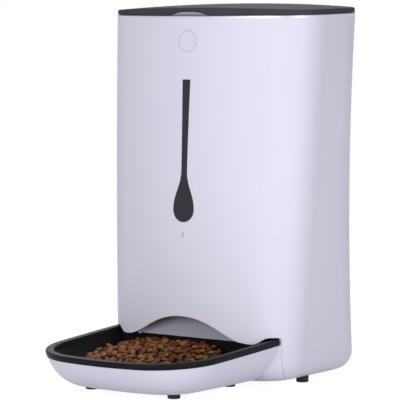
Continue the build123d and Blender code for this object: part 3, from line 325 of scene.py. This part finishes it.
def boardPaint(name, look):
    paint = Paint(name)
    lines = paint.node("ShaderNodeTexVoronoi", {"feature": "DISTANCE_TO_EDGE"},
                       {"Vector": paint.place(), "Scale": look["scale"]})[0]
    edge = paint.node("ShaderNodeMath", {"operation": "LESS_THAN"}, {0: lines, 1: look["trackHalf"]})[0]
    return paint.surface({
        "Base Color": paint.mixColour(edge, look["mask"], look["track"]),
        "Roughness": look["rough"] + look["trackRough"] * edge,
        "Normal": paint.bump(edge, look["trackShare"], look["trackDepth"]),
    })


kibbleLook = {
    "crust": colour(0.21, 0.08, 0.024),
    "crumb": colour(0.41, 0.17, 0.055),
    "burnt": colour(0.06, 0.022, 0.007),
    # painted shade colour for the pellets' lower sides
    "under": colour(0.016, 0.006, 0.003),
    "baking": (0.1, 0.5, 0.95),  # where burnt, crust and crumb lie between dark and light pellets
    "ownShare": 0.75,
    "patchShare": 0.5,
    "patchMiddle": 0.25,
    "patchScale": 160.0,
    "poreScale": 900.0,
    "poreTone": 0.45,
    "poreShare": 0.6,
    "poreDepth": 0.4 * mm,
    "rough": 0.55,
    "roughSpread": 0.3,
    "shine": 0.09,
}


def kibblePaint(name, look):
    paint = Paint(name)
    own = paint.node("ShaderNodeNewGeometry")["Random Per Island"]
    patch = paint.noise(look["patchScale"], 2.0)
    pores = paint.noise(look["poreScale"], 4.0, 0.65)
    stops = list(zip(look["baking"], (look["burnt"], look["crust"], look["crumb"])))
    shade = look["ownShare"] * own + look["patchShare"] * (patch - look["patchMiddle"])
    baked = paint.node("ShaderNodeValToRGB", {"stops": stops}, {"Fac": shade})[0]
    pits = paint.node("ShaderNodeMath", {"operation": "MULTIPLY", "use_clamp": True},
                      {0: pores, 1: look["poreTone"]})[0]
    pitted = paint.mixColour(pits, baked, look["burnt"])
    # painted shade: the colour darkens to the under shade towards each pellet's lower side
    tone = paint.node("ShaderNodeAttribute", {"attribute_name": "crustTone"})["Fac"]
    return paint.surface({
        "Base Color": paint.mixColour(tone, look["under"], pitted),
        "Roughness": look["rough"] + look["roughSpread"] * (pores - 0.5),
        "Specular IOR Level": look["shine"],
        "Normal": paint.bump(pores, look["poreShare"], look["poreDepth"]),
    })


paints = {"shell": shellPaint("bodyGloss", shellLook)}
for paintName, paintLook in satinLook.items():
    paints[paintName] = satinPaint(paintName + "Satin", paintLook)
for paintName, paintLook in metalLook.items():
    paints[paintName] = metalPaint(paintName + "Metal", paintLook)
paints["trim"] = trimPaint("trimSilverAndShade", trimLook)
paints["window"] = smokePaint("windowSmoke", smokeLook)
paints["glass"] = smokePaint("displaySmoke", dict(smokeLook, **displayLook))
paints["lens"] = smokePaint("indicatorLens", dict(smokeLook, **lensLook))
paints["board"] = boardPaint("circuitBoard", boardLook)
paints["kibble"] = kibblePaint("kibbleCrust", kibbleLook)
print("finishes made:", len(paints))

for entry in frame["record"]["subparts"]:
    node = frame["nodes"].get(entry["node"])
    if node is None:
        continue
    paint = paints[entry["material_slot"]]
    if node.material_slots:
        for slot in node.material_slots:
            slot.material = paint
    else:
        node.data.materials.append(paint)
print("CAD nodes painted")

kibbleSpec = {
    "seed": 11,
    "forms": 8,
    "half": (4.6 * mm, 3.1 * mm, 2.0 * mm),
    "hollow": 0.4,  # depth and radius of the hollow pressed into a pellet's middle
    "hollowHalf": 0.6,
    "lumps": ((0.16, 1.6), (0.07, 4.0)),  # height and scale of a pellet's lumps
    "formSpread": 50,
    "sizes": (0.84, 1.08),
    "lean": 0.36,
    "pitch": 7.6 * mm,
    "jitter": 1.4 * mm,
    "lift": 0.7 * mm,
    "layers": 3,
    "layerStep": 3.2 * mm,
    "rimZ": 41.4 * mm,  # the rim's height at the seam, and how it falls towards the front
    "seamY": -62.0 * mm,
    "rimFall": 3.55,
    "proud": 1.2 * mm,
    "dome": (0.36, 0.4),  # radii of the heap's crown, across and towards the front
    "plan": (72.0 * mm, 112.0 * mm),  # half sizes of the heap's oval, and its turn in degrees
    "planTurn": 35.0,
    "endFall": 7.0 * mm,
    "endPower": 4,
    "ceiling": 39.5 * mm,
    "bowlDepth": 60.0 * mm,
    "clear": 0.4 * mm,
    "lumpRoom": 1.02,
    "toneMiddle": 0.4,  # painted shade: pellets are dark below, where they touch
    "toneSpread": 0.9,
}


def pelletForms(spec, draw):
    ball = bmesh.new()
    bmesh.ops.create_icosphere(ball, subdivisions=2, radius=1.0)
    points = [vert.co.copy() for vert in ball.verts]
    faces = np.array([[vert.index for vert in face.verts] for face in ball.faces])
    ball.free()
    forms = []
    for form in range(spec["forms"]):
        offset = Vector([draw.uniform(0, spec["formSpread"]) for axis in range(3)])
        shaped = []
        for point in points:
            rim = math.hypot(point.x, point.y)
            dent = 1 - spec["hollow"] * max(0.0, 1 - rim / spec["hollowHalf"])
            swell = 1 + sum(height * noise.noise(point * scale + offset) for height, scale in spec["lumps"])
            shaped.append((point.x * swell, point.y * swell, point.z * dent * swell))
        forms.append(np.array(shaped) * np.array(spec["half"]))
    return forms, faces


# height of the heap's surface over a place in the bowl, or None outside its oval
def heapTop(spec, x, y, middleY):
    planX, planY = spec["plan"]
    turn = math.radians(spec["planTurn"])
    aside = x * math.cos(turn) + (y - middleY) * math.sin(turn)
    ahead = (y - middleY) * math.cos(turn) - x * math.sin(turn)
    if math.hypot(aside / planX, ahead / planY) > 1:
        return None
    across, along = spec["dome"]
    crown = x * x / (2 * across) + min(y - middleY, 0) ** 2 / (2 * along)
    crown += spec["endFall"] * (aside / planX) ** spec["endPower"]
    rim = spec["rimZ"] + (y - axisY - spec["seamY"]) * math.tan(math.radians(spec["rimFall"]))
    return min(rim + spec["proud"] - crown, spec["ceiling"])


def pelletPlaces(spec, draw):
    graph = bpy.context.evaluated_depsgraph_get()
    around = [BVHTree.FromObject(frame["nodes"][name], graph) for name in ("bowl", "chute", "outer_shell")]
    low, high = (Vector(corner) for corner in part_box("bowl"))
    reach = spec["half"][0] * spec["lumpRoom"] + spec["clear"]
    down = Vector((0, 0, -1))
    pitch = spec["pitch"]
    places = []
    for layer in range(spec["layers"]):
        sunk = spec["half"][2] + layer * spec["layerStep"]
        for row in range(int((high.y - low.y) / pitch) + 1):
            for column in range(int((high.x - low.x) / pitch) + 1):
                shift = 0.5 * ((row + layer) % 2)  # every other row lies half a pitch over
                x = low.x + (column + shift) * pitch + draw.gauss(0, spec["jitter"])
                y = low.y + row * pitch + draw.gauss(0, spec["jitter"])
                top = heapTop(spec, x, y, (low.y + high.y) / 2)
                if top is None:
                    continue
                spot = Vector((x, y, top - sunk + draw.gauss(0, spec["lift"])))
                tips = [draw.gauss(0, spec["lean"]) for axis in range(2)]
                lean = Euler((*tips, draw.uniform(0, math.tau)))
                size = draw.uniform(*spec["sizes"])
                if around[0].ray_cast(spot, down, spec["bowlDepth"])[0] is None:
                    continue
                if min(tree.find_nearest(spot)[3] for tree in around) > reach * size:
                    places.append((spot, lean, size))
    return places


def addObject(name, data, paint):
    added = bpy.data.objects.new(name, data)
    bpy.context.scene.collection.objects.link(added)
    data.materials.append(paint)
    return added


def makeKibble(spec):
    draw = random.Random(spec["seed"])
    forms, faces = pelletForms(spec, draw)
    places = pelletPlaces(spec, draw)
    points, corners, tones = [], [], []
    for spot, lean, size in places:
        corners.append(faces + len(forms[0]) * len(points))
        turned = draw.choice(forms) @ (np.array(lean.to_matrix()).T * size)
        # painted shade: each pellet's tone falls towards its lower side
        tones.append(np.clip(spec["toneMiddle"] + spec["toneSpread"] * turned[:, 2] / spec["half"][2], 0, 1))
        points.append(turned + np.array(spot))
    data = bpy.data.meshes.new("kibble")
    data.from_pydata(np.concatenate(points).tolist(), [], np.concatenate(corners).tolist())
    data.shade_smooth()
    data.attributes.new("crustTone", "FLOAT", "POINT").data.foreach_set("value", np.concatenate(tones))
    pile = addObject("kibble", data, paints["kibble"])
    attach(pile, "tray")
    print("kibble pieces:", len(places))


makeKibble(kibbleSpec)


def evenSides(count, turn):
    steps = (turn + math.tau * k / count for k in range(count))
    return [(math.cos(step), math.sin(step)) for step in steps]


dropShape = {"half": 0.95, "power": 1.5}


def dropOutline(count, shape):
    steps = [math.tau * k / count for k in range(count)]
    halves = [shape["half"] * math.sin(step / 2) ** shape["power"] for step in steps]
    return [(-half * math.sin(step), math.cos(step)) for half, step in zip(halves, steps)]


roundSteps = 28
signSpec = {
    "size": 2.2 * mm,
    "height": 0.12 * mm,
    "sink": 0.04 * mm,
    "above": 10.0 * mm,
    "outlines": {
        "set_button": evenSides(6, 0.0),
        "record_button": evenSides(roundSteps, 0.0),
        "up_button": evenSides(3, math.pi / 2),
        "down_button": evenSides(3, -math.pi / 2),
        "feed_button": dropOutline(roundSteps, dropShape),
    },
}


def makeSign(key, outline, spec):
    graph = bpy.context.evaluated_depsgraph_get()
    tree = BVHTree.FromObject(frame["nodes"][key], graph)
    low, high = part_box(key)
    above = Vector(((low[0] + high[0]) / 2, (low[1] + high[1]) / 2, high[2] + spec["above"]))
    spot, normal = tree.ray_cast(above, Vector((0, 0, -1)))[:2]
    flat = [(x * spec["size"], y * spec["size"]) for x, y in outline]
    points = [(x, y, z) for z in (-spec["sink"], spec["height"]) for x, y in flat]
    count = len(flat)
    faces = [tuple(reversed(range(count))), tuple(range(count, 2 * count))]
    for k in range(count):
        nextK = (k + 1) % count
        faces.append((k, nextK, count + nextK, count + k))
    data = bpy.data.meshes.new(key + "Sign")
    data.from_pydata(points, [], faces)
    sign = addObject(key + "Sign", data, paints["sign"])
    tilt = Vector((0, 0, 1)).rotation_difference(normal).to_matrix().to_4x4()
    sign.matrix_world = Matrix.Translation(spot) @ tilt
    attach(sign, key)


for keyName, keyOutline in signSpec["outlines"].items():
    makeSign(keyName, keyOutline, signSpec)
print("key signs:", len(signSpec["outlines"]))

bezelSpec = {
    "middleZ": 326.5 * mm,
    "radius": 9.7 * mm,
    "half": 0.55 * mm,
    # place across the ring, and lift over the face
    "profile": ((-1.0, -0.1 * mm), (-0.5, 0.3 * mm), (0.5, 0.3 * mm), (1.0, -0.1 * mm)),
    "steps": 72,
    "ahead": 50.0 * mm,
}


# thin raised ring on the release's face, laid on its curve, a little darker than the shell as painted shade
# for the groove around the release
def makeBezel(spec):
    tree = BVHTree.FromObject(frame["nodes"]["lid_release"], bpy.context.evaluated_depsgraph_get())
    middle = Vector((0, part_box("lid_release")[0][1] - spec["ahead"], spec["middleZ"]))
    mesh = bmesh.new()
    loops = []
    for step in range(spec["steps"]):
        turn = math.tau * step / spec["steps"]
        out = Vector((math.cos(turn), 0, math.sin(turn)))
        loop = []
        for across, lift in spec["profile"]:
            spot = middle + out * (spec["radius"] + across * spec["half"])
            face = tree.ray_cast(spot, Vector((0, 1, 0)))[0]
            loop.append(mesh.verts.new((face.x, face.y - lift, face.z)))
        loops.append(loop)
    for step, loop in enumerate(loops):
        following = loops[(step + 1) % len(loops)]
        for k in range(len(loop)):
            nextK = (k + 1) % len(loop)
            mesh.faces.new((loop[k], loop[nextK], following[nextK], following[k]))
    bmesh.ops.recalc_face_normals(mesh, faces=mesh.faces)
    data = bpy.data.meshes.new("releaseGrooveShadeRing")
    mesh.to_mesh(data)
    mesh.free()
    data.shade_smooth()
    bezel = addObject("releaseGrooveShadeRing", data, paints["bezel"])
    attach(bezel, "release")


makeBezel(bezelSpec)
print("release bezel laid")

stageSpec = {"size": 1.7, "cells": 8, "white": colour(0.78, 0.78, 0.785), "glow": 0.8, "strength": 1.185}


def seenBy(paint):
    rays = paint.node("ShaderNodeLightPath")
    direct = paint.node("ShaderNodeMath", {"operation": "MAXIMUM"},
                        {0: rays["Is Camera Ray"], 1: rays["Is Glossy Ray"]})[0]
    through = rays["Is Transmission Ray"]
    return paint.node("ShaderNodeMath", {"operation": "MAXIMUM"}, {0: direct, 1: through})[0]


def makeFloor(spec):
    mesh = bmesh.new()
    bmesh.ops.create_grid(mesh, x_segments=spec["cells"], y_segments=spec["cells"], size=spec["size"])
    data = bpy.data.meshes.new("floor")
    mesh.to_mesh(data)
    mesh.free()
    paint = Paint("paleFloor")
    seen = seenBy(paint)
    matt = paint.node("ShaderNodeBsdfDiffuse", None, {"Color": spec["white"]})[0]
    glow = paint.node("ShaderNodeEmission", None, {"Color": colour(1, 1, 1), "Strength": spec["strength"]})[0]
    mixed = paint.node("ShaderNodeMixShader", None, {0: seen * spec["glow"], 1: matt, 2: glow})[0]
    paint.node("ShaderNodeOutputMaterial", None, {"Surface": mixed})
    floor = addObject("floor", data, paint.material)


makeFloor(stageSpec)

worldSpec = {"light": 0.17}


def makeWorld(spec):
    world = bpy.data.worlds.new("studio")
    world.use_nodes = True
    bpy.context.scene.world = world
    paint = Paint("studio", world.node_tree)
    seen = seenBy(paint)
    strength = seen + (1 - seen) * spec["light"]
    sky = paint.node("ShaderNodeBackground", None, {"Color": colour(1, 1, 1), "Strength": strength})[0]
    paint.node("ShaderNodeOutputWorld", None, {"Surface": sky})


makeWorld(worldSpec)

lampAim = Vector((0, axisY, 180.0 * mm))
lampSpecs = {
    "keyLamp": {"from": (0.16, -1.38, 0.4), "size": (0.6, 0.6), "power": 8.4},
    "sideLamp": {"from": (0.8, -0.24, 0.22), "size": (0.4, 0.4), "power": 2.45},
    "backLamp": {"from": (-0.8, 1.15, 1.45), "size": (0.8, 0.8), "power": 15.0},
    "topLamp": {"from": (0.1, -0.6, 1.9), "size": (1.0, 1.0), "power": 9.0},
}


def makeLamp(name, spec):
    light = bpy.data.lights.new(name, "AREA")
    light.shape = "RECTANGLE"
    light.size, light.size_y = spec["size"]
    light.energy = spec["power"]
    lamp = bpy.data.objects.new(name, light)
    bpy.context.scene.collection.objects.link(lamp)
    place = Vector(spec["from"])
    aim = lampAim - place
    lamp.matrix_world = Matrix.Translation(place) @ aim.to_track_quat("-Z", "Y").to_matrix().to_4x4()


for lampName, lampSpec in lampSpecs.items():
    makeLamp(lampName, lampSpec)

cameraSpec = {
    "around": 35.0,
    "distance": 2.319,
    "height": 0.3527,
    "yaw": 0.849,
    "pitch": 4.506,
    "focalPixels": 2370.0,
    "framePixels": 400.0,
    "sensor": 36.0,
    "clip": 60.0,
}


def makeCamera(spec):
    data = bpy.data.cameras.new("photoCamera")
    data.sensor_width = spec["sensor"]
    data.lens = spec["focalPixels"] * spec["sensor"] / spec["framePixels"]
    data.clip_end = spec["clip"]
    camera = bpy.data.objects.new("photoCamera", data)
    bpy.context.scene.collection.objects.link(camera)
    around = math.radians(spec["around"])
    heading = math.radians(spec["around"] + spec["yaw"])
    pitch = math.radians(spec["pitch"])
    away = spec["distance"]
    place = Vector((away * math.sin(around), axisY - away * math.cos(around), spec["height"]))
    level = math.cos(pitch)
    look = Vector((-math.sin(heading) * level, math.cos(heading) * level, -math.sin(pitch)))
    camera.matrix_world = Matrix.Translation(place) @ look.to_track_quat("-Z", "Y").to_matrix().to_4x4()
    bpy.context.scene.camera = camera


makeCamera(cameraSpec)
bpy.context.scene.view_settings.view_transform = "Standard"
print("stage, lamps and camera set")
